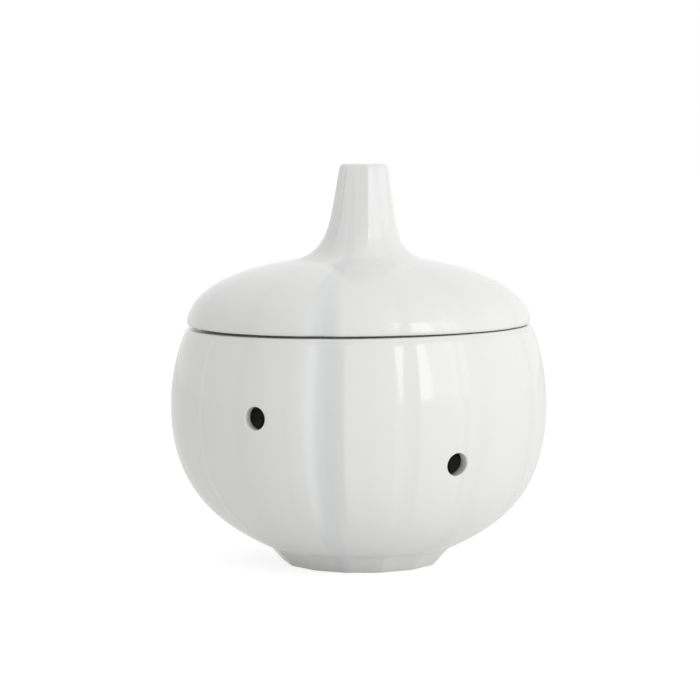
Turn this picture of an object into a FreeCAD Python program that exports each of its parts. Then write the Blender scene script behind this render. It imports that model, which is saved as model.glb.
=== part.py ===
import FreeCAD, Part
import math
import os
import Sketcher

# Garlic keeper: a glazed ceramic pot shaped like a bulb of garlic, with vents in its wall, and a
# lid whose dome flows into a garlic-stem grip. Millimetres, +Z up, the origin on the bench at the
# pot's axis, and the front of the keeper towards -Y. An azimuth is in degrees to the right of the
# front, as someone who stands before the keeper sees it.

SIZES = [
    ("overall_height", 140.0, "bench to the top of the stem"),
    ("belly_diameter", 132.0, "largest diameter, over the crests of the lobes"),
    ("belly_height", 56.0, "height of the largest diameter"),
    ("belly_pull", 31.0, "handle of the lower curve, straight down from the belly"),
    ("underside_pull", 20.0, "handle of the lower curve, out from the foot"),
    ("underside_angle", 25.0, "slope of the underside where it meets the foot, in degrees"),
    ("shoulder_arc", 72.0, "radius of the wall's curve from the belly up to the rim"),
    ("seam_height", 84.0, "underside of the lid's edge"),
    ("seat_gap", 0.3, "clearance between the rim and the lid at rest"),
    ("lip_width", 5.458, "rim from the mouth out to the crests of the lobes"),
    ("wall_thickness", 3.4, "pot wall at the belly"),
    ("floor_height", 9.0, "bench to the inside floor"),
    ("floor_diameter", 54.0, "flat part of the inside floor"),
    ("rim_round", 1.2, "rounding of the rim and of the lid's edge"),
    ("foot_height", 5.8, "bench to where the foot meets the underside"),
    ("foot_root", 1.6, "how far bulb and foot run into each other where they are joined"),
    ("foot_top_diameter", 63.0, "foot ring where it meets the underside, over the crests"),
    ("foot_base_diameter", 56.5, "foot ring on the bench, over the crests"),
    ("foot_inner_diameter", 44.0, "recess inside the foot ring"),
    ("foot_recess", 2.5, "depth of the recess inside the foot ring"),
    ("lobe_count", 14, "lobes round the bulb, an even number"),
    ("lobe_depth", 0.8, "crest to valley at the belly"),
    ("foot_lobe_depth", 0.7, "corner to facet on the foot"),
    ("first_valley", -12.5, "azimuth of a valley that runs on into the stem"),
    ("vent_diameter", 7.8, "bore of each vent"),
    ("vent_high", 57.0, "height of the upper vents"),
    ("vent_low", 41.6, "height of the lower vents"),
    ("vents_per_row", 3, "vents at each of the two heights"),
    ("vent_azimuth", -31.8, "azimuth of the first upper vent"),
    ("vent_shift", 2.25, "lower vents past the middle between two upper ones, in degrees"),
    ("lid_inset", 0.16, "how far the lid's edge stays inside the crests of the rim"),
    ("dome_rise", 24.5, "rise that the dome's curve would reach on the axis"),
    ("dome_lobe_depth", 0.6, "crest to valley on the lid's edge"),
    ("dome_wall", 4.6, "thickness of the dome"),
    ("stem_base_diameter", 25.3, "stem above its flare, over the crests"),
    ("stem_top_diameter", 18.3, "stem below its rounded top, over the crests"),
    ("stem_flare", 13.0, "radius of the flare from the dome into the stem"),
    ("stem_lobe_depth", 0.9, "crest to valley on the stem"),
    ("stem_lean", 2.6, "how far the stem's top leans to the right"),
    ("stem_round", 1.2, "rounding of the stem's top"),
    ("stem_bore_diameter", 11.0, "cast hollow at the foot of the stem"),
    ("stem_bore_top_diameter", 6.0, "cast hollow at its blind end"),
    ("stem_cap", 9.0, "solid clay above the stem's hollow"),
    ("flange_depth", 6.0, "how far the locating flange hangs below the seam"),
    ("flange_width", 4.2, "thickness of the flange"),
    ("flange_clearance", 1.0, "flange to mouth, on the radius"),
]

RIM_RISE = "(Sizes.seam_height - Sizes.seat_gap - Sizes.belly_height)"
RIM_REACH = f"(Sizes.shoulder_arc - sqrt(Sizes.shoulder_arc ^ 2 - {RIM_RISE} ^ 2))"

# What the rim, where the wall's curve ends, gives to the mouth and to the lid that seats on it
DERIVED = [
    ("rim_diameter", f"Sizes.belly_diameter - 2 * {RIM_REACH}", "rim, over the crests"),
    ("mouth_diameter", "rim_diameter - 2 * Sizes.lip_width", "clear opening of the pot"),
    ("lid_diameter", "rim_diameter - 2 * Sizes.lid_inset", "lid at the seam, over the crests"),
]

# Sections of each loft, and points that carry one lobe of a section
BELLY_STATIONS = 7
SHOULDER_STATIONS = 3
DOME_STATIONS = 6
FLARE_STATIONS = 3
STEM_STATIONS = 3
ROUND_STATIONS = 2
POINTS_PER_LOBE = 4
# Over 0.5 the crest is broader than the valley
CREST_BREADTH = 0.6

doc = FreeCAD.newDocument("garlic_keeper")


def fill_sheet(name, rows):
    sheet = doc.addObject("Spreadsheet::Sheet", name)
    for row, (alias, content, meaning) in enumerate(rows, start=1):
        sheet.set(f"A{row}", alias.replace("_", " "))
        sheet.setAlias(f"B{row}", alias)
        sheet.set(f"B{row}", content)
        sheet.set(f"C{row}", meaning)
    doc.recompute()
    return sheet


sheet = fill_sheet("Sizes", [(alias, str(value), meaning) for alias, value, meaning in SIZES])
derived = fill_sheet("Derived", [(alias, f"={formula}", meaning) for alias, formula, meaning in DERIVED])


def size(alias):
    holder = derived if hasattr(derived, alias) else sheet
    return float(getattr(holder, alias))


def bind(feature, **expressions):
    for prop, expression in expressions.items():
        feature.setExpression(prop, expression)


# Lobed lofts


def lobe_height(turn, count):
    # 0 in a valley and 1 on a crest, at a share of a full turn
    return abs(math.sin(math.pi * turn * count)) ** CREST_BREADTH


def lobed_wire(radius, height, depth, facet_depth=0.0, stem_depth=0.0, lean=0.0):
    # A closed section, radius over its crests. Facets have their corners under the valleys, and
    # every second valley runs on into the stem, between crisp crests.
    lobes = int(size("lobe_count"))
    steps = POINTS_PER_LOBE * lobes
    start = math.radians(size("first_valley") - 90.0)
    points = []
    for step in range(steps):
        turn = step / steps
        inward = depth * (1.0 - lobe_height(turn, lobes))
        inward += facet_depth * abs(math.sin(math.pi * turn * lobes))
        inward += stem_depth * abs(math.cos(math.pi * turn * lobes / 2.0))
        angle = start + 2.0 * math.pi * turn
        reach = radius - inward
        points.append(FreeCAD.Vector(lean + reach * math.cos(angle), reach * math.sin(angle), height))
    curve = Part.BSplineCurve()
    # The same parameters in every section keep the loft through them smooth
    curve.interpolate(Points=points, PeriodicFlag=True, Parameters=[float(n) for n in range(steps + 1)])
    return Part.Wire([curve.toShape()])


def lobed_loft(name, sections, ruled=False):
    # A solid through sections that are given as the arguments of lobed_wire
    wires = []
    for index, section in enumerate(sections, start=1):
        wire = doc.addObject("Part::Feature", f"{name}_section_{index}")
        wire.Shape = lobed_wire(*section)
        wires.append(wire)
    loft = doc.addObject("Part::Loft", name)
    loft.Sections = wires
    loft.Solid = True
    loft.Ruled = ruled
    doc.recompute()
    return loft


# Outlines, as pairs of radius over the crests and height


def bulb_outline():
    # From inside the foot, out along the underside, round the belly and up to the rim
    belly = size("belly_diameter") / 2.0
    belly_height = size("belly_height")
    foot = size("foot_top_diameter") / 2.0
    slope = math.radians(size("underside_angle"))
    pull = size("underside_pull")
    lower = Part.BezierCurve()
    lower.setPoles([
        FreeCAD.Vector(foot, 0, size("foot_height")),
        FreeCAD.Vector(foot + pull * math.cos(slope), 0, size("foot_height") + pull * math.sin(slope)),
        FreeCAD.Vector(belly, 0, belly_height - size("belly_pull")),
        FreeCAD.Vector(belly, 0, belly_height),
    ])
    root = size("foot_root")
    outline = [(foot - root * math.cos(slope), size("foot_height") - root * math.sin(slope))]
    for index in range(BELLY_STATIONS):
        point = lower.value(index / BELLY_STATIONS)
        outline.append((point.x, point.z))
    arc = size("shoulder_arc")
    rise = size("seam_height") - size("seat_gap") - belly_height
    for index in range(SHOULDER_STATIONS + 1):
        climb = rise * index / SHOULDER_STATIONS
        outline.append((belly - arc + math.sqrt(arc ** 2 - climb ** 2), belly_height + climb))
    return outline


def dome_outline():
    # A quarter ellipse from the seam up to where the flare of the stem leaves it
    edge = size("lid_diameter") / 2.0
    rise = size("dome_rise")
    flare = size("stem_flare")
    meeting = size("stem_base_diameter") / 2.0 + flare
    for _ in range(4):
        # The flare starts square to the ellipse's own slope there
        top = math.acos(meeting / edge)
        slope = math.atan(rise * math.cos(top) / (edge * math.sin(top)))
        meeting = size("stem_base_diameter") / 2.0 + flare * (1.0 - math.sin(slope))
    outline = []
    for index in range(DOME_STATIONS + 1):
        angle = top * index / DOME_STATIONS
        outline.append((edge * math.cos(angle), size("seam_height") + rise * math.sin(angle)))
    return outline, slope


def flare_outline(start, slope):
    # An arc from the dome's slope to the upright stem
    flare = size("stem_flare")
    centre_radius = start[0] + flare * math.sin(slope)
    centre_height = start[1] + flare * math.cos(slope)
    outline = []
    for index in range(1, FLARE_STATIONS + 1):
        angle = slope + (math.pi / 2.0 - slope) * index / FLARE_STATIONS
        outline.append((centre_radius - flare * math.sin(angle), centre_height - flare * math.cos(angle)))
    return outline


def stem_outline(start):
    # The taper above the flare, then the rounded top
    rounding = size("stem_round")
    top = (size("stem_top_diameter") / 2.0, size("overall_height") - rounding)
    taper = [
        tuple(low + (high - low) * index / STEM_STATIONS for low, high in zip(start, top))
        for index in range(1, STEM_STATIONS + 1)
    ]
    turn = [math.pi / 2.0 * index / ROUND_STATIONS for index in range(1, ROUND_STATIONS + 1)]
    return taper + [
        (top[0] - rounding * (1.0 - math.cos(angle)), top[1] + rounding * math.sin(angle))
        for angle in turn
    ]


# Pot


def pot_blank():
    # The bulb and the foot before they are hollowed
    belly = size("belly_diameter") / 2.0
    bulb = [(radius, height, size("lobe_depth") * radius / belly) for radius, height in bulb_outline()]
    base = size("foot_base_diameter") / 2.0
    height = size("foot_height") + size("foot_root")
    taper = (size("foot_top_diameter") / 2.0 - base) / size("foot_height")
    facet = size("foot_lobe_depth")
    foot = [(base, 0.0, 0.0, facet), (base + taper * height, height, 0.0, facet)]
    blank = doc.addObject("Part::MultiFuse", "pot_blank")
    blank.Shapes = [lobed_loft("bulb", bulb), lobed_loft("foot", foot, ruled=True)]
    doc.recompute()
    return blank


def origin_feature(body, role):
    return next(feature for feature in body.Origin.OriginFeatures if feature.Role == role)


def plane_sketch(body, name, role):
    sketch = body.newObject("Sketcher::SketchObject", name)
    sketch.AttachmentSupport = (origin_feature(body, role), "")
    sketch.MapMode = "FlatFace"
    return sketch


def vector(x, y):
    return FreeCAD.Vector(x, y, 0)


def circle_sketch(body, name, role, height, height_size, diameter_size):
    # A circle on the sketch's upright axis; height_size is None where it is on the origin
    sketch = plane_sketch(body, name, role)
    circle = sketch.addGeometry(Part.Circle(vector(0, height), vector(0, 0) + FreeCAD.Vector(0, 0, 1),
                                            size(diameter_size) / 2.0))
    if height_size is None:
        sketch.addConstraint(Sketcher.Constraint("Coincident", circle, 3, -1, 1))
    else:
        sketch.addConstraint(Sketcher.Constraint("PointOnObject", circle, 3, -2))
        up = sketch.addConstraint(Sketcher.Constraint("DistanceY", -1, 1, circle, 3, height))
        sketch.setExpression(f"Constraints[{up}]", f"Sizes.{height_size}")
    wide = sketch.addConstraint(Sketcher.Constraint("Diameter", circle, size(diameter_size)))
    sketch.setExpression(f"Constraints[{wide}]", f"Sizes.{diameter_size}")
    return sketch


def cavity_sketch(body):
    # Half of the cast hollow: flat floor, an arc up to the belly, an arc up to the mouth
    axis_top = size("seam_height") + size("flange_depth")
    rim = size("seam_height") - size("seat_gap")
    floor = vector(0, size("floor_height"))
    corner = vector(size("floor_diameter") / 2.0, size("floor_height"))
    belly = vector(size("belly_diameter") / 2.0 - size("wall_thickness"), size("belly_height"))
    lip = vector(size("mouth_diameter") / 2.0, rim)
    above = vector(lip.x, axis_top)
    top = vector(0, axis_top)

    def bulge(outer, inner):
        # Circle through both points whose centre is level with the belly
        rise = inner.y - outer.y
        reach = ((outer.x - inner.x) ** 2 + rise ** 2) / (2.0 * (outer.x - inner.x))
        centre = vector(outer.x - reach, outer.y)
        return Part.Circle(centre, FreeCAD.Vector(0, 0, 1), reach), math.atan2(rise, inner.x - centre.x)

    lower_circle, lower_end = bulge(belly, corner)
    upper_circle, upper_end = bulge(belly, lip)
    sketch = plane_sketch(body, "cavity_outline", "XZ_Plane")
    bottom = sketch.addGeometry(Part.LineSegment(floor, corner))
    lower = sketch.addGeometry(Part.ArcOfCircle(lower_circle, lower_end, 0.0))
    upper = sketch.addGeometry(Part.ArcOfCircle(upper_circle, 0.0, upper_end))
    side = sketch.addGeometry(Part.LineSegment(lip, above))
    lid_side = sketch.addGeometry(Part.LineSegment(above, top))
    axis = sketch.addGeometry(Part.LineSegment(top, floor))
    joints = [
        (bottom, 2, lower, 1), (lower, 2, upper, 1), (upper, 2, side, 1),
        (side, 2, lid_side, 1), (lid_side, 2, axis, 1), (axis, 2, bottom, 1),
    ]
    for joint in joints:
        sketch.addConstraint(Sketcher.Constraint("Coincident", *joint))
    for line in (bottom, lid_side):
        sketch.addConstraint(Sketcher.Constraint("Horizontal", line))
    sketch.addConstraint(Sketcher.Constraint("Vertical", side))
    sketch.addConstraint(Sketcher.Constraint("PointOnObject", axis, 1, -2))
    sketch.addConstraint(Sketcher.Constraint("PointOnObject", axis, 2, -2))
    lengths = [
        ("DistanceY", bottom, 1, floor.y, "Sizes.floor_height"),
        ("DistanceX", bottom, 2, corner.x, "Sizes.floor_diameter / 2"),
        ("DistanceY", lower, 2, belly.y, "Sizes.belly_height"),
        ("DistanceX", lower, 2, belly.x, "Sizes.belly_diameter / 2 - Sizes.wall_thickness"),
        ("DistanceY", lower, 3, belly.y, "Sizes.belly_height"),
        ("DistanceY", upper, 3, belly.y, "Sizes.belly_height"),
        ("DistanceY", side, 1, lip.y, "Sizes.seam_height - Sizes.seat_gap"),
        ("DistanceX", side, 1, lip.x, "Derived.mouth_diameter / 2"),
        ("DistanceY", side, 2, above.y, "Sizes.seam_height + Sizes.flange_depth"),
    ]
    for kind, line, point, length, expression in lengths:
        index = sketch.addConstraint(Sketcher.Constraint(kind, -1, 1, line, point, length))
        sketch.setExpression(f"Constraints[{index}]", expression)
    return sketch


def vent_row(body, name, height_size, azimuth):
    # One vent bored square to the axis, and its copies round the pot at the same height
    sketch = circle_sketch(body, f"{name}_circle", "XZ_Plane", size(height_size), height_size,
                           "vent_diameter")
    sketch.AttachmentOffset = FreeCAD.Placement(vector(0, 0), FreeCAD.Rotation(vector(0, 1), 1.0))
    sketch.setExpression("AttachmentOffset.Rotation.Angle", azimuth)
    vent = body.newObject("PartDesign::Pocket", name)
    vent.Profile = sketch
    vent.Type = "ThroughAll"
    vent.Reversed = True
    body.Tip = vent
    doc.recompute()
    row = body.newObject("PartDesign::PolarPattern", f"{name}_row")
    row.Originals = [vent]
    row.Axis = (origin_feature(body, "Z_Axis"), [""])
    row.Angle = 360.0
    bind(row, Occurrences="Sizes.vents_per_row")
    body.Tip = row
    doc.recompute()


def edges_at(shape, height, least_length=0.0):
    # Names of the edges that lie at a height and are longer than least_length
    names = []
    for number, edge in enumerate(shape.Edges, start=1):
        box = edge.BoundBox
        level = abs(box.ZMin - height) < 0.01 and abs(box.ZMax - height) < 0.01
        if level and edge.Length > least_length:
            names.append(f"Edge{number}")
    return names


def round_edges(body, name, edges, radius):
    # Rounds edges of the body's tip
    tip = body.Tip
    rounding = body.newObject("PartDesign::Fillet", name)
    rounding.Base = (tip, edges)
    bind(rounding, Radius=radius)
    body.Tip = rounding
    doc.recompute()


def build_pot():
    body = doc.addObject("PartDesign::Body", "pot")
    body.Label = "pot"
    body.BaseFeature = pot_blank()
    doc.recompute()

    cavity = body.newObject("PartDesign::Groove", "cavity")
    cavity.Profile = cavity_sketch(body)
    cavity.ReferenceAxis = (cavity.Profile[0], ["V_Axis"])
    cavity.Angle = 360.0
    body.Tip = cavity
    doc.recompute()

    recess = body.newObject("PartDesign::Pocket", "foot_recess")
    recess.Profile = circle_sketch(body, "recess_circle", "XY_Plane", 0.0, None, "foot_inner_diameter")
    recess.Type = "Length"
    recess.Reversed = True
    bind(recess, Length="Sizes.foot_recess")
    body.Tip = recess
    doc.recompute()

    rim = edges_at(recess.Shape, size("seam_height") - size("seat_gap"))
    round_edges(body, "rim_rounding", rim, "Sizes.rim_round")
    vent_row(body, "upper_vent", "vent_high", "Sizes.vent_azimuth")
    vent_row(body, "lower_vent", "vent_low",
             "Sizes.vent_azimuth + 180 / Sizes.vents_per_row + Sizes.vent_shift")
    return body


# Lid


def lid_blank():
    # Dome, flare and stem in one loft; the stem's flutes fade out down the flare
    dome, slope = dome_outline()
    flare = flare_outline(dome[-1], slope)
    stem = stem_outline(flare[-1])
    edge = dome[0][0]
    flare_foot, foot_of_lean = dome[-1]
    stem_foot = flare[-1][0]
    leaning = size("overall_height") - foot_of_lean
    sections = []
    for radius, height in dome + flare + stem:
        climb = max(0.0, height - foot_of_lean)
        flute = min(1.0, (flare_foot - radius) / (flare_foot - stem_foot)) if climb > 0.0 else 0.0
        lobe = size("dome_lobe_depth") * radius / edge * (1.0 - flute)
        sections.append((radius, height, lobe, 0.0, size("stem_lobe_depth") * flute,
                         size("stem_lean") * climb / leaning))
    return lobed_loft("dome_and_stem", sections)


FLANGE_RADIUS = "Derived.mouth_diameter / 2 - Sizes.flange_clearance"
FLANGE_FOOT = "Sizes.seam_height - Sizes.flange_depth"


def hollow_sketch(body):
    # Half of the lid's hollow: inside of the flange, inside of the dome, and the bore in the stem
    seam = size("seam_height")
    across = size("lid_diameter") / 2.0 - size("dome_wall")
    rise = size("dome_rise") - size("dome_wall")
    flange = size("mouth_diameter") / 2.0 - size("flange_clearance") - size("flange_width")
    bore = size("stem_bore_diameter") / 2.0
    bore_top = size("stem_bore_top_diameter") / 2.0
    foot = seam - size("flange_depth")
    end = size("overall_height") - size("stem_cap")

    def on_dome(radius):
        return vector(radius, seam + rise * math.sqrt(1.0 - (radius / across) ** 2))

    low = vector(0, foot)
    low_side = vector(flange, foot)
    dome_edge = on_dome(flange)
    dome_top = on_dome(bore)
    blind_side = vector(bore_top, end)
    blind = vector(0, end)
    ellipse = Part.Ellipse(vector(0, seam), across, rise)

    sketch = plane_sketch(body, "hollow_outline", "XZ_Plane")
    bottom = sketch.addGeometry(Part.LineSegment(low, low_side))
    side = sketch.addGeometry(Part.LineSegment(low_side, dome_edge))
    dome = sketch.addGeometry(Part.ArcOfEllipse(ellipse, math.acos(flange / across),
                                                math.acos(bore / across)))
    taper = sketch.addGeometry(Part.LineSegment(dome_top, blind_side))
    cap = sketch.addGeometry(Part.LineSegment(blind_side, blind))
    axis = sketch.addGeometry(Part.LineSegment(blind, low))
    sketch.exposeInternalGeometry(dome)
    major = axis + 1
    minor = axis + 2
    joints = [
        (bottom, 2, side, 1), (side, 2, dome, 1), (dome, 2, taper, 1),
        (taper, 2, cap, 1), (cap, 2, axis, 1), (axis, 2, bottom, 1),
    ]
    for joint in joints:
        sketch.addConstraint(Sketcher.Constraint("Coincident", *joint))
    for line in (bottom, cap, major):
        sketch.addConstraint(Sketcher.Constraint("Horizontal", line))
    sketch.addConstraint(Sketcher.Constraint("Vertical", side))
    for joint in ((axis, 1), (axis, 2), (dome, 3)):
        sketch.addConstraint(Sketcher.Constraint("PointOnObject", *joint, -2))
    flange_bore = f"{FLANGE_RADIUS} - Sizes.flange_width"
    lengths = [
        ("DistanceY", bottom, 1, foot, FLANGE_FOOT),
        ("DistanceX", bottom, 2, flange, flange_bore),
        ("DistanceY", dome, 3, seam, "Sizes.seam_height"),
        ("DistanceX", dome, 2, bore, "Sizes.stem_bore_diameter / 2"),
        ("DistanceX", taper, 2, bore_top, "Sizes.stem_bore_top_diameter / 2"),
        ("DistanceY", taper, 2, end, "Sizes.overall_height - Sizes.stem_cap"),
    ]
    for kind, line, point, length, expression in lengths:
        index = sketch.addConstraint(Sketcher.Constraint(kind, -1, 1, line, point, length))
        sketch.setExpression(f"Constraints[{index}]", expression)
    axes = [
        (major, across, "Derived.lid_diameter - 2 * Sizes.dome_wall"),
        (minor, rise, "2 * (Sizes.dome_rise - Sizes.dome_wall)"),
    ]
    for line, half, expression in axes:
        index = sketch.addConstraint(Sketcher.Constraint("Distance", line, 2.0 * half))
        sketch.setExpression(f"Constraints[{index}]", expression)
    return sketch


def build_lid():
    flange = doc.addObject("Part::Cylinder", "flange")
    bind(flange, Radius=FLANGE_RADIUS, Height="Sizes.flange_depth + Sizes.dome_wall / 2")
    flange.setExpression("Placement.Base.z", FLANGE_FOOT)
    solid = doc.addObject("Part::MultiFuse", "lid_blank")
    solid.Shapes = [lid_blank(), flange]

    body = doc.addObject("PartDesign::Body", "lid")
    body.Label = "lid"
    body.BaseFeature = solid
    doc.recompute()
    hollow = body.newObject("PartDesign::Groove", "hollow")
    hollow.Profile = hollow_sketch(body)
    hollow.ReferenceAxis = (hollow.Profile[0], ["V_Axis"])
    hollow.Angle = 360.0
    body.Tip = hollow
    doc.recompute()
    outside = math.pi * size("mouth_diameter")
    round_edges(body, "edge_rounding", edges_at(body.Tip.Shape, size("seam_height"), outside),
                "Sizes.rim_round")
    return body


def check_document(parts):
    for feature in doc.Objects:
        bad = [state for state in feature.State if state in ("Invalid", "Error")]
        if bad:
            raise RuntimeError(f"{feature.Name} is {', '.join(bad)}")
    for part in parts:
        if part.Shape.isNull() or not part.Shape.isValid():
            raise RuntimeError(f"{part.Label} has no valid shape")


keeper = [build_pot(), build_lid()]
doc.recompute()
check_document(keeper)
os.makedirs("parts", exist_ok=True)
for part in keeper:
    part.Shape.exportStep(f"parts/{part.Label}.step")
    box = part.Shape.BoundBox
    print(f"{part.Label}: {len(part.Shape.Solids)} solid, {part.Shape.Volume / 1000.0:.1f} cm3, "
          f"X {box.XMin:.1f}..{box.XMax:.1f}, Y {box.YMin:.1f}..{box.YMax:.1f}, "
          f"Z {box.ZMin:.1f}..{box.ZMax:.1f}")
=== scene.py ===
import math
import bpy
import numpy as np
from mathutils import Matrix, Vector


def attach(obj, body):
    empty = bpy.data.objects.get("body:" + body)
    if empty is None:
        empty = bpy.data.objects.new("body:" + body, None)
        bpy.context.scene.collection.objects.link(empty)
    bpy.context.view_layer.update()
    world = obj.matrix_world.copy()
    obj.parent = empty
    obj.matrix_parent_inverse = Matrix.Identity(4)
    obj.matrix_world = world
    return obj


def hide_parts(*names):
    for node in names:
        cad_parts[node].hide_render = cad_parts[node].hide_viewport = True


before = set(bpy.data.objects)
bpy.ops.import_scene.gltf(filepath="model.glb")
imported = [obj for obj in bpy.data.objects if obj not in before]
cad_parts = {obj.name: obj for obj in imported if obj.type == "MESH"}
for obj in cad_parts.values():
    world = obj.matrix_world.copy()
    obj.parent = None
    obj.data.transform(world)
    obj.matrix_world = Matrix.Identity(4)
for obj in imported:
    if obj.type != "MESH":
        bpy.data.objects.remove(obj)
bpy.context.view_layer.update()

# Garlic keeper in white glaze: a fluted pot with six vents, and a lid that flows into a stem.
# Lengths are written in millimetres and become metres in the meshes. An azimuth is in degrees to
# the right of the front, which faces -Y.
MM = 0.001

COLUMNS = 480
COLUMN_STEP = 360.0 / COLUMNS
VENT_AZIMUTH = -31.8
VENTS_PER_ROW = 3
# A lower vent's place to the right of the upper vent before it
LOWER_VENT_SHIFT = 62.25
VENT_HEIGHTS = (57.0, 41.6)
VENT_RADIUS = 3.9
VENT_SOFTENING = 0.35
# Rows of the wall in the band of the vents pass through the vents' centres
BAND_ROWS_BETWEEN_VENTS = 14
BAND_STEP = (VENT_HEIGHTS[0] - VENT_HEIGHTS[1]) / BAND_ROWS_BETWEEN_VENTS
WINDOW_COLUMNS = 8
WINDOW_ROWS = 6
# Rings from a window's border to the vent's mouth, round its softened edge, and down its bore
BORDER_SHARES = (0.2, 0.4, 0.6, 0.8, 1.0)
SOFTENING_TURNS = (30, 60, 90)
BORE_SHARES = (0.33, 0.66)

BELLY_RADIUS = 66.0
BELLY_HEIGHT = 56.0
SHOULDER_ARC = 72.0
SEAM_HEIGHT = 84.0
SEAT_GAP = 0.3
RIM_HEIGHT = SEAM_HEIGHT - SEAT_GAP
MOUTH_RADIUS = 55.0
WALL = 3.4
FLOOR_HEIGHT = 9.0
FLOOR_RADIUS = 27.0
# The soft corner of floor and wall: its start on the floor, its middle, and its end on the wall
FLOOR_CORNER_START = 2.6
FLOOR_CORNER_MIDDLE = (0.6, 0.35)
FLOOR_CORNER_END = 1.2
RIM_ROUND = 1.2
# The rim's rounding starts at the wall's own slope, a little outside
RIM_START_ANGLE = 12
RIM_START_OUT = 0.08
FOOT_BASE_RADIUS = 28.0
FOOT_TOP_RADIUS = 32.0
FOOT_ROUND = 1.6
FOOT_HEIGHT = 5.8
FOOT_INNER_RADIUS = 22.0
FOOT_RECESS = 2.5
RECESS_ROUND = 1.0
RECESS_EDGE_ROUND = 0.6
# The soft corner of foot and underside: inwards and down on the foot, and up on the underside
FOOT_CORNER = (0.35, 0.75, 0.12)
UNDERSIDE_ANGLE = math.radians(25.0)
UNDERSIDE_PULL = 19.3
BELLY_PULL = 31.0

LID_RADIUS = 60.3
DOME_RISE = 23.9
DOME_HOLLOW_RISE = 19.9
# Over 2 the dome is fuller than an ellipse
DOME_FULLNESS = 2.14
DOME_WALL = 4.6
FLARE_RADIUS = 25.2
FLARE_PULL = 10.6
STEM_FOOT = (11.0, 125.6)
STEM_PULL = 12.3
STEM_TOP_RADIUS = 9.0
STEM_ROUND = 2.0
STEM_TOP = 140.0
STEM_FLAT_INSET = 0.4
BORE_RADIUS = 5.5
BORE_TOP_RADIUS = 3.0
BORE_END = 131.0
BORE_SOFTENING = (0.3, 0.6)
FLANGE_RADIUS = 54.0
FLANGE_WIDTH = 4.2
FLANGE_FOOT = 78.0
FLANGE_ROUND = 0.6
SEAT_FILLET = 0.5

LOBES = 14
FIRST_VALLEY = -12.5

# Rows of the wall are this far apart. A flat face has wide rows, and a narrow one at its edge.
WALL_STEP = 1.05
FLAT_STEP = 8.0
FLAT_EDGE_STEP = 3.0
SAME_POINT = 0.02
SAME_LEVEL = 0.01


# Profiles, as lists of radius and height


def spaced(points, step):
    # The same line with points at about an equal distance
    line = np.array(points, float)
    reach = np.concatenate([[0.0], np.cumsum(np.hypot(*np.diff(line, axis=0).T))])
    count = max(1, int(round(reach[-1] / step)))
    at = np.linspace(0.0, reach[-1], count + 1)
    radii, heights = (np.interp(at, reach, line[:, n]) for n in range(2))
    return [(float(r), float(z)) for r, z in zip(radii, heights)]


def arc(centre, radius, start, end, count):
    # Angles in degrees, 0 outwards and 90 up
    return [
        (centre[0] + radius * math.cos(math.radians(a)), centre[1] + radius * math.sin(math.radians(a)))
        for a in np.linspace(start, end, count)
    ]


def chain(*stretches):
    # Stretches end to end, without the points that two of them share
    line = []
    for stretch in stretches:
        for point in stretch:
            if not line or math.dist(line[-1], point) > SAME_POINT:
                line.append(tuple(point))
    return line


def cubic(start, leaving, arriving, end, count):
    # Points on the curve between two ends, with a handle at each
    t = np.linspace(0.0, 1.0, count)[:, None]
    near = (1 - t) ** 3 * np.array(start) + 3 * (1 - t) ** 2 * t * np.array(leaving)
    return near + 3 * (1 - t) * t ** 2 * np.array(arriving) + t ** 3 * np.array(end)


def flat_face(edge_radius, height):
    # From the edge of a flat round face to its middle
    wide = spaced([(edge_radius - FLAT_EDGE_STEP, height), (0.0, height)], FLAT_STEP)
    return [(edge_radius, height)] + wide


def underside_curve():
    out = UNDERSIDE_PULL * math.cos(UNDERSIDE_ANGLE)
    up = UNDERSIDE_PULL * math.sin(UNDERSIDE_ANGLE)
    return cubic(
        (FOOT_TOP_RADIUS, FOOT_HEIGHT), (FOOT_TOP_RADIUS + out, FOOT_HEIGHT + up),
        (BELLY_RADIUS, BELLY_HEIGHT - BELLY_PULL), (BELLY_RADIUS, BELLY_HEIGHT), 600,
    )


LOWER_WALL = underside_curve()


def outer_radius(height):
    if height <= BELLY_HEIGHT:
        return float(np.interp(height, LOWER_WALL[:, 1], LOWER_WALL[:, 0]))
    climb = height - BELLY_HEIGHT
    return BELLY_RADIUS - SHOULDER_ARC + math.sqrt(SHOULDER_ARC ** 2 - climb ** 2)


def inner_radius(height):
    # Two arcs whose centres are level with the belly
    end = (FLOOR_RADIUS, FLOOR_HEIGHT) if height < BELLY_HEIGHT else (MOUTH_RADIUS, RIM_HEIGHT)
    widest = BELLY_RADIUS - WALL
    reach = widest - end[0]
    bulge = (reach ** 2 + (end[1] - BELLY_HEIGHT) ** 2) / (2.0 * reach)
    return widest - bulge + math.sqrt(max(0.0, bulge ** 2 - (height - BELLY_HEIGHT) ** 2))


BAND = [VENT_HEIGHTS[1] + BAND_STEP * k for k in range(-10, 28)]


def wall_line(radius_at, start, end, count, step):
    # One face of the wall, from one height to another
    return spaced([(radius_at(z), z) for z in np.linspace(start, end, count)], step)


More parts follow.
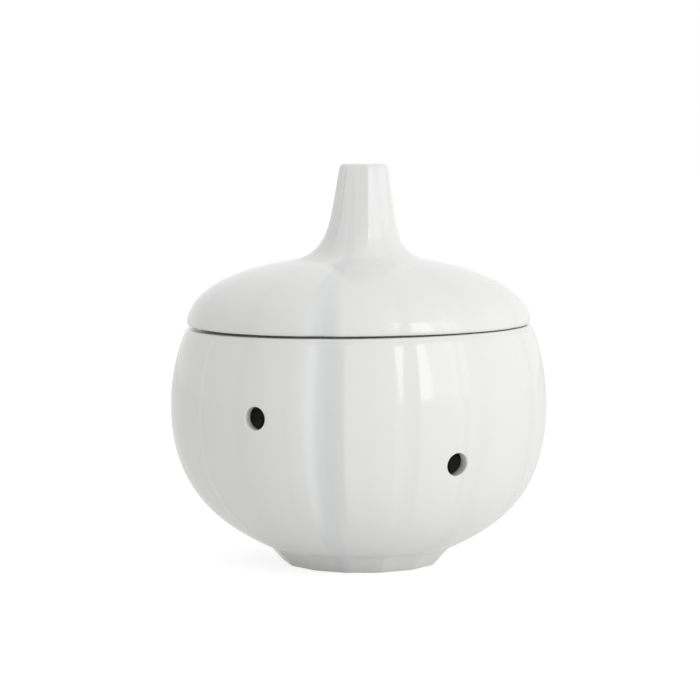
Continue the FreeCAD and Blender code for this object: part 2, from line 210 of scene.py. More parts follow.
def pot_profile():
    # From the middle of the underside, over the foot, the wall and the rim, to the middle of the floor
    recess_edge = FOOT_INNER_RADIUS - RECESS_ROUND
    bench_edge = FOOT_INNER_RADIUS + RECESS_EDGE_ROUND
    recess = chain(
        flat_face(recess_edge, FOOT_RECESS)[::-1],
        arc((recess_edge, FOOT_RECESS - RECESS_ROUND), RECESS_ROUND, 90, 0, 4),
        arc((bench_edge, RECESS_EDGE_ROUND), RECESS_EDGE_ROUND, 180, 270, 4),
    )
    foot_edge = arc((FOOT_BASE_RADIUS - FOOT_ROUND, FOOT_ROUND), FOOT_ROUND, 270, 316, 7)
    corner_in, corner_down, corner_up = FOOT_CORNER
    foot = chain(
        spaced([(bench_edge, 0.0), foot_edge[0]], 1.0), foot_edge,
        spaced([foot_edge[-1], (FOOT_TOP_RADIUS - corner_in, FOOT_HEIGHT - corner_down)], 0.8),
    )
    rise = spaced([tuple(p) for p in LOWER_WALL if FOOT_HEIGHT + corner_up < p[1] <= BAND[0]], WALL_STEP)
    band = [(outer_radius(z), z) for z in BAND]
    rim_foot = RIM_HEIGHT - RIM_ROUND
    upper = wall_line(outer_radius, BAND[-1], rim_foot, 60, WALL_STEP)
    rim_radius = outer_radius(RIM_HEIGHT)
    rim = chain(
        arc((rim_radius - RIM_ROUND + RIM_START_OUT, rim_foot), RIM_ROUND, RIM_START_ANGLE, 90, 6),
        spaced([(rim_radius - RIM_ROUND, RIM_HEIGHT), (MOUTH_RADIUS + RIM_ROUND, RIM_HEIGHT)], 0.9),
        arc((MOUTH_RADIUS + RIM_ROUND, rim_foot), RIM_ROUND, 90, 180, 6),
    )
    inner_upper = wall_line(inner_radius, rim_foot, BAND[-1], 40, 1.5)
    inner_band = [(inner_radius(z), z) for z in reversed(BAND)]
    inner_lower = wall_line(inner_radius, BAND[0], FLOOR_HEIGHT + FLOOR_CORNER_END, 200, 1.8)
    inwards, upwards = FLOOR_CORNER_MIDDLE
    floor = chain(
        [(FLOOR_RADIUS - inwards, FLOOR_HEIGHT + upwards)],
        flat_face(FLOOR_RADIUS - FLOOR_CORNER_START, FLOOR_HEIGHT),
    )
    return chain(recess, foot, rise, band, upper, rim, inner_upper, inner_band, inner_lower, floor)


def dome_height(radius):
    return SEAM_HEIGHT + DOME_RISE * (1.0 - (radius / LID_RADIUS) ** DOME_FULLNESS) ** (1.0 / DOME_FULLNESS)


def flare_curve():
    # From the dome, along its slope, into the taper of the stem
    reach = 0.01
    slope = (dome_height(FLARE_RADIUS + reach) - dome_height(FLARE_RADIUS - reach)) / (2.0 * reach)
    leave = np.array((-1.0, -slope)) / math.hypot(1.0, slope)
    foot = np.array(STEM_FOOT)
    taper = np.array((STEM_TOP_RADIUS, STEM_TOP - STEM_ROUND)) - foot
    taper /= np.linalg.norm(taper)
    start = np.array((FLARE_RADIUS, dome_height(FLARE_RADIUS)))
    return cubic(start, start + leave * FLARE_PULL, foot - taper * STEM_PULL, foot, 80)


def lid_profile():
    # From the blind end of the stem's hollow, down and round the flange, up the dome to the stem's top
    across = LID_RADIUS - DOME_WALL
    rise = DOME_HOLLOW_RISE
    bore_foot = SEAM_HEIGHT + rise * math.sqrt(1.0 - (BORE_RADIUS / across) ** 2)
    flange_bore = FLANGE_RADIUS - FLANGE_WIDTH
    hollow_angles = np.linspace(math.acos(BORE_RADIUS / across), math.acos(flange_bore / across), 120)
    hollow = [(across * math.cos(a), SEAM_HEIGHT + rise * math.sin(a)) for a in hollow_angles]
    end_soft, foot_soft = BORE_SOFTENING
    flange_side = FLANGE_FOOT + FLANGE_ROUND
    fillet_foot = SEAM_HEIGHT - SEAT_FILLET
    inside = chain(
        spaced([(0.0, BORE_END), (BORE_TOP_RADIUS, BORE_END)], 1.2),
        spaced([(BORE_TOP_RADIUS, BORE_END - end_soft), (BORE_RADIUS, bore_foot + foot_soft)], 3.0),
        spaced(hollow, 1.6),
        spaced([hollow[-1], (flange_bore, flange_side)], 1.2),
        arc((flange_bore + FLANGE_ROUND, flange_side), FLANGE_ROUND, 180, 270, 4),
        spaced([(flange_bore + FLANGE_ROUND, FLANGE_FOOT), (FLANGE_RADIUS - FLANGE_ROUND, FLANGE_FOOT)], 1.0),
        arc((FLANGE_RADIUS - FLANGE_ROUND, flange_side), FLANGE_ROUND, 270, 360, 4),
        spaced([(FLANGE_RADIUS, flange_side), (FLANGE_RADIUS, fillet_foot)], 1.2),
        arc((FLANGE_RADIUS + SEAT_FILLET, fillet_foot), SEAT_FILLET, 180, 90, 3),
        spaced([(FLANGE_RADIUS + SEAT_FILLET, SEAM_HEIGHT), (LID_RADIUS - RIM_ROUND, SEAM_HEIGHT)], 0.9),
    )
    edge = arc((LID_RADIUS - RIM_ROUND, SEAM_HEIGHT + RIM_ROUND), RIM_ROUND, 270, 355, 7)
    # Close together at the edge, where the dome is steep
    radii = LID_RADIUS - (LID_RADIUS - FLARE_RADIUS) * np.linspace(0.0, 1.0, 800) ** 3
    dome = [(r, dome_height(r)) for r in radii if dome_height(r) > SEAM_HEIGHT + RIM_ROUND + 0.3]
    shoulder = STEM_TOP - STEM_ROUND
    flare = [tuple(point) for point in flare_curve()]
    stem = [flare[-1], (STEM_TOP_RADIUS, shoulder)]
    outside = chain(edge, spaced(dome, 1.0), spaced(flare, 0.8), spaced(stem, 0.9))
    top = chain(
        arc((STEM_TOP_RADIUS - STEM_ROUND, shoulder), STEM_ROUND, 10, 90, 6),
        spaced([(STEM_TOP_RADIUS - STEM_ROUND - STEM_FLAT_INSET, STEM_TOP), (0.0, STEM_TOP)], 1.0),
    )
    return chain(inside, outside, top)


# Shells


class Shell:
    # A profile turned round the axis, with an attribute that is 1 on its outside and 0 inside

    def __init__(self, profile, outside):
        self.points = []
        self.faces = []
        self.weights = []
        self.profile = profile
        self.rows = [self.add_row(*point, outside(*point)) for point in profile]

    def add(self, x, y, z, weight):
        self.points.append((x * MM, y * MM, z * MM))
        self.weights.append(weight)
        return len(self.points) - 1

    def add_row(self, radius, height, weight):
        if radius < SAME_POINT / 2.0:
            return [self.add(0.0, 0.0, height, weight)] * COLUMNS
        row = []
        for column in range(COLUMNS):
            a = math.radians(VENT_AZIMUTH + COLUMN_STEP * column)
            row.append(self.add(radius * math.sin(a), -radius * math.cos(a), height, weight))
        return row

    def face(self, *corners):
        ring = [c for n, c in enumerate(corners) if c != corners[n - 1]]
        if len(ring) > 2:
            self.faces.append(ring)

    def skin(self, holes=()):
        # holes are ranges of rows and columns that stay open
        gaps = {
            (row, column % COLUMNS)
            for rows, columns in holes for row in rows for column in columns
        }
        for row in range(len(self.rows) - 1):
            low, high = self.rows[row], self.rows[row + 1]
            for column in range(COLUMNS):
                if (row, column) not in gaps:
                    after = (column + 1) % COLUMNS
                    self.face(low[column], low[after], high[after], high[column])

    def mesh(self, name):
        mesh = bpy.data.meshes.new(name)
        mesh.from_pydata(self.points, [], self.faces)
        mesh.attributes.new("outside", "FLOAT", "POINT").data.foreach_set("value", self.weights)
        mesh.polygons.foreach_set("use_smooth", [True] * len(mesh.polygons))
        mesh.validate()
        mesh.update()
        return mesh


def ring_between(shell, first, second):
    # A strip of faces between two closed rings of as many corners
    for n in range(len(first)):
        after = (n + 1) % len(first)
        shell.face(first[n], first[after], second[after], second[n])


def window_border(shell, middle_row, middle_column):
    # Corners round a vent's window, and each corner's place across and up from the vent's centre
    wide, tall = WINDOW_COLUMNS, WINDOW_ROWS
    steps = [(c, -tall) for c in range(-wide, wide)]
    steps += [(wide, r) for r in range(-tall, tall)]
    steps += [(c, tall) for c in range(wide, -wide, -1)]
    steps += [(-wide, r) for r in range(tall, -tall, -1)]
    step_up = 1 if shell.profile[middle_row + 1][1] > shell.profile[middle_row][1] else -1
    return [
        (shell.rows[middle_row + step_up * r][(middle_column + c) % COLUMNS], c, r * BAND_STEP)
        for c, r in steps
    ]


def cut_vent(shell, azimuth, height, outer_row, inner_row):
    # One vent: both faces of the wall are drawn in to the bore, whose ends are softened by glaze
    column = int(round((azimuth - VENT_AZIMUTH) / COLUMN_STEP))
    middle = math.radians(azimuth)
    ahead = Vector((math.sin(middle), -math.cos(middle)))
    across = Vector((math.cos(middle), math.sin(middle)))
    outer = window_border(shell, outer_row, column)
    inner = window_border(shell, inner_row, column)
    mouth = VENT_RADIUS + VENT_SOFTENING

    def place(side, up, depth_in, wall_radius, weight):
        deep = math.sqrt(wall_radius(height + up) ** 2 - side ** 2) + depth_in
        flat = ahead * deep + across * side
        return shell.add(flat.x, flat.y, height + up, weight)

    def wall_rings(border, wall_radius, weight):
        # From the window's border to the mouth of the bore, on the wall itself
        rings = [[corner for corner, _, _ in border]]
        for share in BORDER_SHARES:
            ring = []
            for _, c, up in border:
                side = wall_radius(height + up) * math.sin(math.radians(c * COLUMN_STEP))
                angle = math.atan2(up, side)
                to = (mouth * math.cos(angle), mouth * math.sin(angle))
                mixed = (side + (to[0] - side) * share, up + (to[1] - up) * share)
                ring.append(place(*mixed, 0.0, wall_radius, weight))
            rings.append(ring)
        return rings

    def bore_ring(reach, wall_radius, depth_in, weight):
        ring = []
        for _, c, up in outer:
            side = outer_radius(height + up) * math.sin(math.radians(c * COLUMN_STEP))
            angle = math.atan2(up, side)
            to = (reach * math.cos(angle), reach * math.sin(angle))
            ring.append(place(*to, depth_in, wall_radius, weight))
        return ring

    def softened_ring(turn, wall_radius, inwards, weight):
        # A ring of the rounding between one face of the wall and the bore
        a = math.radians(turn)
        reach = mouth - VENT_SOFTENING * math.sin(a)
        return bore_ring(reach, wall_radius, inwards * VENT_SOFTENING * (1 - math.cos(a)), weight)

    outside_rings = wall_rings(outer, outer_radius, 1.0)
    inside_rings = wall_rings(inner, inner_radius, 0.0)
    tunnel = [softened_ring(turn, outer_radius, -1.0, 1.0) for turn in SOFTENING_TURNS]
    for share in BORE_SHARES:
        depth_in = -VENT_SOFTENING - share * (WALL - 4.0 * VENT_SOFTENING)
        tunnel.append(bore_ring(VENT_RADIUS, outer_radius, depth_in, 1.0 - share))
    tunnel += [softened_ring(turn, inner_radius, 1.0, 0.0) for turn in SOFTENING_TURNS[::-1]]
    rings = outside_rings + tunnel + inside_rings[::-1]
    for first, second in zip(rings, rings[1:]):
        ring_between(shell, first, second)


def clamped(share):
    return min(1.0, max(0.0, share))


def outside_of_pot(radius, height):
    # The wall's outside and the foot carry the lobes; the rim hands over to the smooth inside
    if height > RIM_HEIGHT - RIM_ROUND:
        return clamped((radius - MOUTH_RADIUS) / (outer_radius(RIM_HEIGHT) - MOUTH_RADIUS))
    if height < FOOT_HEIGHT:
        return clamped((radius - FOOT_INNER_RADIUS) / (FOOT_BASE_RADIUS - 1.0 - FOOT_INNER_RADIUS))
    middle = (outer_radius(height) + inner_radius(max(height, FLOOR_HEIGHT))) / 2.0
    return 1.0 if radius > middle else 0.0


def make_pot():
    shell = Shell(pot_profile(), outside_of_pot)
    heights = [z for _, z in shell.profile]
    vents = []
    holes = []
    for turn in range(VENTS_PER_ROW):
        for height, shift in zip(VENT_HEIGHTS, (0.0, LOWER_VENT_SHIFT)):
            spread = shift + 360.0 * turn / VENTS_PER_ROW
            rows = [row for row, z in enumerate(heights) if abs(z - height) < 0.001]
            outer_row, inner_row = rows[0], rows[-1]
            column = int(round(spread / COLUMN_STEP))
            columns = range(column - WINDOW_COLUMNS, column + WINDOW_COLUMNS)
            for row in (outer_row, inner_row):
                holes.append((range(row - WINDOW_ROWS, row + WINDOW_ROWS), columns))
            vents.append((VENT_AZIMUTH + spread, height, outer_row, inner_row))
    shell.skin(holes)
    for vent in vents:
        cut_vent(shell, *vent)
    return shell.mesh("garlic_pot")


def outside_of_lid(radius, height):
    # The dome's outside and the stem; the seat, the flange and the hollow are smooth
    if height > STEM_TOP - SAME_LEVEL:
        return clamped(radius / (STEM_TOP_RADIUS - STEM_ROUND))
    if height <= SEAM_HEIGHT + SAME_LEVEL:
        return clamped((radius - FLANGE_RADIUS - SEAT_FILLET) / (LID_RADIUS - SEAT_FILLET - FLANGE_RADIUS))
    if height < SEAM_HEIGHT + RIM_ROUND:
        return 1.0 if radius > FLANGE_RADIUS + 1.0 else 0.0
    if radius < BORE_RADIUS + 0.4:
        return 1.0 if height > BORE_END + 1.0 else 0.0
    across = LID_RADIUS - DOME_WALL / 2.0
    rise = (DOME_RISE + DOME_HOLLOW_RISE) / 2.0
    middle = SEAM_HEIGHT + rise * math.sqrt(max(0.0, 1.0 - (radius / across) ** 2))
    return 1.0 if height > middle else 0.0


def make_lid():
    shell = Shell(lid_profile(), outside_of_lid)
    shell.skin()
    return shell.mesh("garlic_lid")


# Node trees


class Value:
    # A number socket in a node tree, for which a Python expression adds Math nodes

    def __init__(self, graph, socket):
        self.graph = graph
        self.socket = socket

    def maths(self, operation, *others):
        values = dict(enumerate((self,) + others))
        return self.graph.node("ShaderNodeMath", {"operation": operation}, values)

    def __add__(self, other):
        return self.maths("ADD", other)

    def __sub__(self, other):
        return self.maths("SUBTRACT", other)

    def __mul__(self, other):
        return self.maths("MULTIPLY", other)

    def __truediv__(self, other):
        return self.maths("DIVIDE", other)

    def __pow__(self, other):
        return self.maths("POWER", other)

    def __rsub__(self, other):
        return self.graph.node("ShaderNodeMath", {"operation": "SUBTRACT"}, {0: other, 1: self})

    def __rtruediv__(self, other):
        return self.graph.node("ShaderNodeMath", {"operation": "DIVIDE"}, {0: other, 1: self})

    __radd__ = __add__
    __rmul__ = __mul__

    def ramp(self, low, high):
        # 0 at low, 1 at high and smooth between them
        limits = {"Value": self, "From Min": low, "From Max": high}
        return self.graph.node("ShaderNodeMapRange", {"interpolation_type": "SMOOTHSTEP"}, limits)


class Graph:
    # Adds nodes to a tree

    def __init__(self, tree):
        self.tree = tree

    def node(self, kind, settings=None, inputs=None, output=0):
        made = self.tree.nodes.new(kind)
        for name, value in (settings or {}).items():
            if name == "points":
                self.set_points(made.mapping, value)
            else:
                setattr(made, name, value)
        for name, value in (inputs or {}).items():
            self.feed(made.inputs[name], value)
        return Value(self, made.outputs[output])

    def feed(self, socket, value):
        if isinstance(value, Value):
            self.tree.links.new(value.socket, socket)
        else:
            socket.default_value = value

    def parts(self, vector):
        # X, Y and Z of a vector
        split = self.tree.nodes.new("ShaderNodeSeparateXYZ")
        self.feed(split.inputs[0], vector)
        return [Value(self, split.outputs[n]) for n in range(3)]

    def output(self, surface, kind="ShaderNodeOutputMaterial"):
        outlet = self.tree.nodes.new(kind)
        self.feed(outlet.inputs["Surface"], surface)

    def set_points(self, mapping, points):
        curve = mapping.curves[0]
        while len(curve.points) < len(points):
            curve.points.new(0.5, 0.5)
        for point, (x, y, handle) in zip(curve.points, points):
            point.location = (x, y)
            point.handle_type = handle
        mapping.update()


def add_inputs(tree, sizes):
    # Named inputs of a modifier, and the identifier of each
    names = {}
    for name, (kind, value) in sizes.items():
        socket = tree.interface.new_socket(name, in_out="INPUT", socket_type=kind)
        if value is not None:
            socket.default_value = value
        names[name] = socket.identifier
    return names


NUMBER = "NodeSocketFloat"
SHELL = "NodeSocketGeometry"

# Heights between which an effect comes in or goes out
LOBES_IN = (0.0, 6.0 * MM)
SEAM_IN = (60.0 * MM, 80.0 * MM)
SEAM_OUT = (84.0 * MM, 97.0 * MM)
FLARE_LEANS = (98.0 * MM, 122.0 * MM)
STEM_LEANS = (100.0 * MM, 150.0 * MM)
LOW_SHIFT_OUT = (8.0 * MM, 46.0 * MM)

# Folds given between the front's azimuths -60 and 60: azimuth, height in millimetres, and a
# handle that is VECTOR where the fold has a crisp crest. The line repeats three times round.
FOLD_REACH = 1.6
FOLD_LINE = [
    (-60.0, 0.00, "AUTO"), (-57.5, -0.05, "AUTO"), (-55.6, -0.14, "AUTO"), (-53.4, 0.24, "AUTO"),
    (-50.0, 0.24, "AUTO"), (-44.0, 0.08, "AUTO"), (-38.0, 0.03, "AUTO"), (-28.0, 0.05, "AUTO"),
    (-23.0, 0.02, "AUTO"), (-20.5, 0.16, "AUTO"), (-17.8, 0.12, "AUTO"), (-16.2, 0.00, "AUTO"),
    (-14.0, -0.92, "AUTO"), (-12.2, -1.30, "AUTO"), (-8.7, -0.84, "AUTO"), (-6.6, -0.34, "AUTO"),
    (-4.4, 0.46, "VECTOR"), (-2.2, 0.34, "AUTO"), (0.8, 0.28, "AUTO"), (4.2, 0.38, "AUTO"),
    (7.2, 0.40, "AUTO"), (10.2, 0.50, "VECTOR"), (13.2, 0.32, "AUTO"), (15.2, 0.26, "AUTO"),
    (17.4, 0.50, "VECTOR"), (20.0, 0.36, "AUTO"), (24.0, 0.22, "AUTO"), (30.5, 0.12, "AUTO"),
    (32.3, -0.10, "AUTO"), (33.8, 0.06, "AUTO"), (37.5, 0.00, "AUTO"), (60.0, 0.00, "AUTO"),
]


def fold_points():
    return [((a + 60.0) / 120.0, 0.5 + h / (2.0 * FOLD_REACH), handle) for a, h, handle in FOLD_LINE]


def surface_tree(name, glaze, bare):
    # Lobes, folds, the stem's flutes and lean, and the hand-made unevenness of a cast shell
    tree = bpy.data.node_groups.new(name, "GeometryNodeTree")
    sizes = {
        "Shell": (SHELL, None),
        "Lobes": (NUMBER, LOBES),
        "First Valley": (NUMBER, FIRST_VALLEY / 360.0),
        "Lobe Depth": (NUMBER, 0.35 * MM),
        "Lobe Radius": (NUMBER, BELLY_RADIUS * MM),
        "Lobe Foot": (NUMBER, 4.0 * MM),
        "Fold Strength": (NUMBER, 1.0),
        "Fold Turn": (NUMBER, 0.0),
        "Fold Low": (NUMBER, 12.0 * MM),
        "Fold High": (NUMBER, 90.0 * MM),
        "Facet Depth": (NUMBER, 0.0),
        "Facet Top": (NUMBER, 8.0 * MM),
        "Stem Depth": (NUMBER, 0.0),
        "Stem Crest": (NUMBER, 7.5 / 360.0),
        "Stem Foot": (NUMBER, STEM_FOOT[0] * MM),
        "Stem Lean": (NUMBER, 0.0),
        "Unevenness": (NUMBER, 0.20 * MM),
        "Seam Wave": (NUMBER, 1.0 * MM),
        "Rim Dip": (NUMBER, 0.0),
        "Edge Rise": (NUMBER, 0.0),
        "Right Bulge": (NUMBER, 0.0),
        "Low Shift": (NUMBER, 0.0),
        "Seed": (NUMBER, 3.0),
    }
    names = add_inputs(tree, sizes)
    tree.interface.new_socket("Shell", in_out="OUTPUT", socket_type=SHELL)
    g = Graph(tree)
    inlet = tree.nodes.new("NodeGroupInput")
    given = {key: Value(g, inlet.outputs[key]) for key in sizes}

    place = g.node("GeometryNodeInputPosition")
    x, y, z = g.parts(place)
    outside = g.node("GeometryNodeInputNamedAttribute", {"data_type": "FLOAT"}, {"Name": "outside"})
    turn = x.maths("ARCTAN2", 0.0 - y) / (2.0 * math.pi)
    radius = (x * x + y * y).maths("SQRT")
    away = radius.maths("MAXIMUM", 1.0 * MM)
    reach = radius / given["Lobe Radius"]

    # Lobes, whose crests are broader than their valleys
    phase = (turn - given["First Valley"]) * given["Lobes"] * math.pi
    wave = phase.maths("SINE")
    lobe = (wave * wave + 0.004) ** 0.3
    lobed = (z - given["Lobe Foot"]).ramp(*LOBES_IN)
    inward = (1.0 - lobe) * given["Lobe Depth"] * reach * lobed

    # Listed folds, three times round
    share = ((turn - given["Fold Turn"]) * 3.0 + 0.5).maths("FRACT")
    line = g.node("ShaderNodeFloatCurve", {"points": fold_points()}, {"Value": share})
    low = z.ramp(given["Fold Low"], given["Fold Low"] + 14.0 * MM)
    high = 1.0 - z.ramp(given["Fold High"] - 12.0 * MM, given["Fold High"])
    outward = (line - 0.5) * (2.0 * FOLD_REACH * MM) * given["Fold Strength"] * low * high * reach

    # Flat facets on the foot
    flat = ((turn + 11.0 / 360.0) * given["Lobes"] * math.pi).maths("SINE").maths("ABSOLUTE")
    above_foot = z.ramp(given["Facet Top"] - 4.0 * MM, given["Facet Top"])
    inward = inward + flat * given["Facet Depth"] * (1.0 - above_foot)

    # Flutes of the stem, with crisp crests
    stem_phase = ((turn - given["Stem Crest"]) * given["Lobes"] * (math.pi / 2.0)).maths("SINE")
    stem_flat = stem_phase.maths("ABSOLUTE")
    grip = 1.0 - radius.ramp(given["Stem Foot"], given["Stem Foot"] * 1.8)
    inward = inward + stem_flat * given["Stem Depth"] * grip

    # Unevenness of the cast, longer up and down than across
    stretched = g.node("ShaderNodeVectorMath", {"operation": "MULTIPLY"}, {0: place, 1: (60.0, 60.0, 14.0)})
    noise_settings = {"noise_dimensions": "4D"}
    noise_inputs = {"Vector": stretched, "W": given["Seed"], "Scale": 1.0, "Detail": 2.0, "Roughness": 0.45}
    noise = g.node("ShaderNodeTexNoise", noise_settings, noise_inputs)
    outward = outward + (noise - 0.5) * 2.0 * given["Unevenness"]

    # The right side stands out a little further than the left
    outward = outward + (x / away).ramp(0.2, 0.9) * given["Right Bulge"]

    moved = (outward - inward) * outside
    scale = 1.0 + moved / away

    # The seam dips towards the left, where the joint also gapes a little
    side = x / (LID_RADIUS * MM)
    dip = 0.58 + side * 0.6 - side * side * 0.6
    near_seam = z.ramp(*SEAM_IN) * (1.0 - z.ramp(*SEAM_OUT))
    gape = (1.0 - side.ramp(-0.3, 1.0)) * given["Rim Dip"]
    curl = (1.0 - side.ramp(-1.0, -0.5)) * given["Edge Rise"]
    lift = (dip * given["Seam Wave"] - gape + curl) * near_seam

    # The stem leans right, and the underside of the pot stands a little to the right
    bend = z.ramp(*FLARE_LEANS) * 0.75 + z.ramp(*STEM_LEANS) * 0.3
    lean = bend * given["Stem Lean"] + (1.0 - z.ramp(*LOW_SHIFT_OUT)) * given["Low Shift"]
    goal = g.node("ShaderNodeCombineXYZ", None, {0: x * scale + lean, 1: y * scale, 2: z + lift})
    moved_shell = g.node("GeometryNodeSetPosition", None, {"Geometry": given["Shell"], "Position": goal})

    # Glaze gathers in valleys and thins on crests; the darker valleys, fold grooves and stem flutes are also
    # painted shade
    pool_and_shade = (1.0 - lobe) * 0.5 + (0.5 - line) * 3.0 + stem_flat * grip * 0.5
    kept = g.node(
        "GeometryNodeStoreNamedAttribute", {"data_type": "FLOAT", "domain": "POINT"},
        {"Geometry": moved_shell, "Name": "pooling", "Value": pool_and_shade * outside},
    )
    real = g.node("GeometryNodeRealizeInstances", None, {"Geometry": kept})
    glazed = g.node("GeometryNodeSetMaterial", None, {"Geometry": real, "Material": glaze})

    # What stands on the bench is bare clay
    faces_down = g.parts(g.node("GeometryNodeInputNormal"))[2].maths("LESS_THAN", -0.9)
    stands = z.maths("LESS_THAN", 0.25 * MM) * faces_down
    ring = {"Geometry": glazed, "Selection": stands, "Material": bare}
    dressed = g.node("GeometryNodeSetMaterial", None, ring)
    outlet = tree.nodes.new("NodeGroupOutput")
    g.feed(outlet.inputs[0], dressed)
    return tree, names


def dress(mesh, tree, names, values):
    # The mesh with the tree's result made plain
    raw = bpy.data.objects.new(mesh.name, mesh)
    bpy.context.scene.collection.objects.link(raw)
    modifier = raw.modifiers.new("surface", "NODES")
    modifier.node_group = tree
    for name, value in values.items():
        modifier[names[name]] = value
    graph = bpy.context.evaluated_depsgraph_get()
    made = bpy.data.meshes.new_from_object(raw.evaluated_get(graph), depsgraph=graph)
    raw.modifiers.clear()
    raw.data = made
    made.name = mesh.name + "_mesh"
    made.polygons.foreach_set("use_smooth", [True] * len(made.polygons))
    return raw


# Materials


def new_material(name):
    material = bpy.data.materials.new(name)
    material.use_nodes = True
    material.node_tree.nodes.clear()
    return material, Graph(material.node_tree)


def white_glaze():
    # Milky gloss glaze: a little cooler where it pools, thin and warm on crests, with orange peel. The darker
    # pooled colour is also painted shade in the valleys, fold grooves and stem flutes.
    material, g = new_material("white_glaze")
    place = g.node("ShaderNodeTexCoord", None, None, "Object")
    pool_and_shade = g.node("ShaderNodeAttribute", {"attribute_name": "pooling"}, None, "Fac")
    cloud = g.node("ShaderNodeTexNoise", None, {"Vector": place, "Scale": 22.0, "Detail": 3.0})
    peel = g.node("ShaderNodeTexNoise", None, {"Vector": place, "Scale": 420.0, "Detail": 2.0})
    ripple = g.node("ShaderNodeTexNoise", None, {"Vector": place, "Scale": 90.0, "Detail": 1.0})
    mask = (pool_and_shade + (cloud - 0.5) * 0.5).ramp(-0.1, 0.9)
    # The darker colour is pooled glaze and painted shade in the valleys, fold grooves and stem flutes
    pooled_and_shaded = (0.842, 0.848, 0.848, 1.0)
    thin = (0.892, 0.889, 0.880, 1.0)
    colour = g.node("ShaderNodeMix", {"data_type": "RGBA"}, {0: mask, 6: thin, 7: pooled_and_shaded}, 2)
    rough = 0.09 + (cloud - 0.5) * 0.05
    height = peel * 0.35 + ripple
    bump = g.node("ShaderNodeBump", None, {"Strength": 0.08, "Distance": 0.0004, "Height": height})
    surface = g.node("ShaderNodeBsdfPrincipled", None, {
        "Base Color": colour, "Roughness": rough, "Normal": bump, "IOR": 1.5,
    })
    g.output(surface)
    return material


def bare_clay():
    # The unglazed ring that stands on the bench
    material, g = new_material("bare_clay")
    place = g.node("ShaderNodeTexCoord", None, None, "Object")
    grain = g.node("ShaderNodeTexNoise", None, {"Vector": place, "Scale": 900.0, "Detail": 4.0})
    smudge = g.node("ShaderNodeTexNoise", None, {"Vector": place, "Scale": 60.0, "Detail": 2.0})
    dark = (0.66, 0.62, 0.56, 1.0)
    light = (0.80, 0.77, 0.72, 1.0)
    mask = smudge.ramp(0.3, 0.7)
    colour = g.node("ShaderNodeMix", {"data_type": "RGBA"}, {0: mask, 6: dark, 7: light}, 2)
    bump = g.node("ShaderNodeBump", None, {"Strength": 0.5, "Distance": 0.0002, "Height": grain})
    surface = g.node("ShaderNodeBsdfPrincipled", None, {
        "Base Color": colour, "Roughness": 0.85, "Normal": bump,
    })
    g.output(surface)
    return material


# Floor, light and camera

WHITE = (1.0, 1.0, 1.0, 1.0)
HALF_FLOOR = 4.0
FLOOR_GLOW = 0.78
# The floor glows this much less in the glaze than to the eye
FLOOR_GLOW_CUT = 0.25

# The sky's strength at the horizon, and what it gains towards the right and upwards. Up to
# LOW_SKY_TOP it gains more towards the right.
SKY_LEVEL = 0.60
SKY_RIGHT = 0.04
SKY_UP = 0.18
LOW_SKY_RIGHT = 0.46
LOW_SKY_TOP = 0.5

# Three panes of a window: azimuth, width in metres and watts
PANES = {
    "window_pane_front": (41.0, 0.35, 2.35),
    "window_pane_side": (54.5, 0.25, 0.4),
    "window_pane_narrow": (65.5, 0.25, 0.6),
}
PANE_ELEVATION = 20.0
PANE_HEIGHT = 0.74
PANE_DISTANCE = 1.3
KEEPER_MIDDLE = Vector((0.0, 0.0, 0.07))

LENS = 146.2
SENSOR_WIDTH = 36.0
EYE = (-3.04, -994.0, 168.6)
EYE_DOWN = 5.4


def seen_directly(g):
    # 1 for what the camera, a gloss or a glass sees, and 1 for what a gloss sees
    path = g.tree.nodes.new("ShaderNodeLightPath")
    camera, glossy, glass = (
        Value(g, path.outputs[name]) for name in ("Is Camera Ray", "Is Glossy Ray", "Is Transmission Ray")
    )
    return (camera + glossy + glass).maths("MINIMUM", 1.0), glossy


def pale_floor():
    # To the eye it glows up to white and keeps the shadow; for the light it is plain and pale
    material, g = new_material("studio_floor")
    seen, glossy = seen_directly(g)
    plain = g.node("ShaderNodeBsdfDiffuse", None, {"Color": (0.94, 0.94, 0.94, 1.0)})
    shaded = g.node("ShaderNodeBsdfDiffuse", None, {"Color": (0.40, 0.40, 0.40, 1.0)})
    strength = FLOOR_GLOW - glossy * FLOOR_GLOW_CUT
    glow = g.node("ShaderNodeEmission", None, {"Color": WHITE, "Strength": strength})
    lit = g.node("ShaderNodeAddShader", None, {0: shaded, 1: glow})
    mixed = g.node("ShaderNodeMixShader", None, {0: seen, 1: plain, 2: lit})
    g.output(mixed)
    return material


def studio_floor():
    mesh = bpy.data.meshes.new("floor")
    near, far = -HALF_FLOOR, HALF_FLOOR
    mesh.from_pydata([(near, near, 0), (far, near, 0), (far, far, 0), (near, far, 0)], [], [(0, 1, 2, 3)])
    floor = bpy.data.objects.new("floor", mesh)
    mesh.materials.append(pale_floor())
    bpy.context.scene.collection.objects.link(floor)


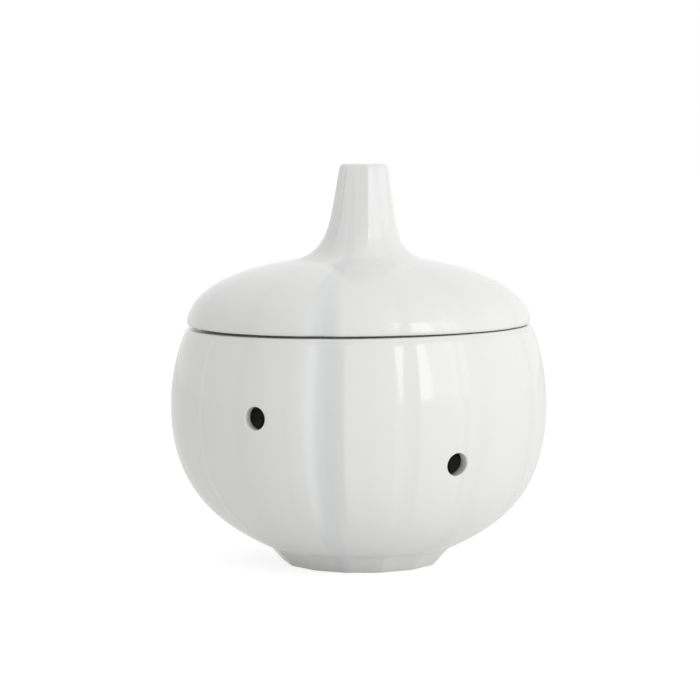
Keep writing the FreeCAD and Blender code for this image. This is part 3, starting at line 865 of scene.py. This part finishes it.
def studio_world():
    # White to the eye; for soft light, brighter from the right than from the left
    world = bpy.data.worlds.new("studio")
    bpy.context.scene.world = world
    world.use_nodes = True
    world.node_tree.nodes.clear()
    g = Graph(world.node_tree)
    x, _, z = g.parts(g.node("ShaderNodeTexCoord", None, None, "Generated"))
    low = 1.0 - z.ramp(0.0, LOW_SKY_TOP)
    level = SKY_LEVEL + x * SKY_RIGHT + z * SKY_UP + x * low * LOW_SKY_RIGHT
    seen = seen_directly(g)[0]
    strength = level * (1.0 - seen) + seen
    sky = g.node("ShaderNodeBackground", None, {"Color": WHITE, "Strength": strength})
    g.output(sky, "ShaderNodeOutputWorld")


def window_pane(name, azimuth, width, watts):
    lamp = bpy.data.lights.new(name, "AREA")
    lamp.shape = "RECTANGLE"
    lamp.size = width
    lamp.size_y = PANE_HEIGHT
    lamp.energy = watts
    holder = bpy.data.objects.new(name, lamp)
    bpy.context.scene.collection.objects.link(holder)
    a, e = math.radians(azimuth), math.radians(PANE_ELEVATION)
    way = Vector((math.sin(a) * math.cos(e), -math.cos(a) * math.cos(e), math.sin(e)))
    holder.location = way * PANE_DISTANCE + KEEPER_MIDDLE
    holder.rotation_euler = (-way).to_track_quat("-Z", "Y").to_euler()


def studio_camera():
    lens = bpy.data.cameras.new("camera")
    lens.lens = LENS
    lens.sensor_width = SENSOR_WIDTH
    camera = bpy.data.objects.new("camera", lens)
    bpy.context.scene.collection.objects.link(camera)
    camera.location = [length * MM for length in EYE]
    camera.rotation_euler = (math.radians(90.0 - EYE_DOWN), 0.0, 0.0)
    bpy.context.scene.camera = camera


# The keeper

glaze = white_glaze()
clay = bare_clay()
tree, names = surface_tree("cast_surface", glaze, clay)

pot = dress(make_pot(), tree, names, {
    "Lobe Depth": 0.35 * MM, "Lobe Radius": BELLY_RADIUS * MM, "Facet Depth": 0.7 * MM,
    "Fold Strength": 1.15, "Rim Dip": 0.4 * MM, "Right Bulge": 0.1 * MM, "Low Shift": 0.75 * MM,
})
lid = dress(make_lid(), tree, names, {
    "Lobe Depth": 0.3 * MM, "Lobe Radius": LID_RADIUS * MM, "Fold Low": 60.0 * MM, "Fold High": 102.0 * MM,
    "Fold Strength": 0.5, "Fold Turn": -1.5 / 360.0, "Stem Depth": 0.9 * MM, "Stem Lean": 2.1 * MM,
    "Rim Dip": -0.1 * MM, "Edge Rise": 0.2 * MM, "Seed": 7.0,
})

for piece, node in ((pot, "pot"), (lid, "lid")):
    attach(piece, node)
    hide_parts(node)

studio_floor()
studio_world()
for name, pane in PANES.items():
    window_pane(name, *pane)
studio_camera()
bpy.context.scene.view_settings.view_transform = "Standard"
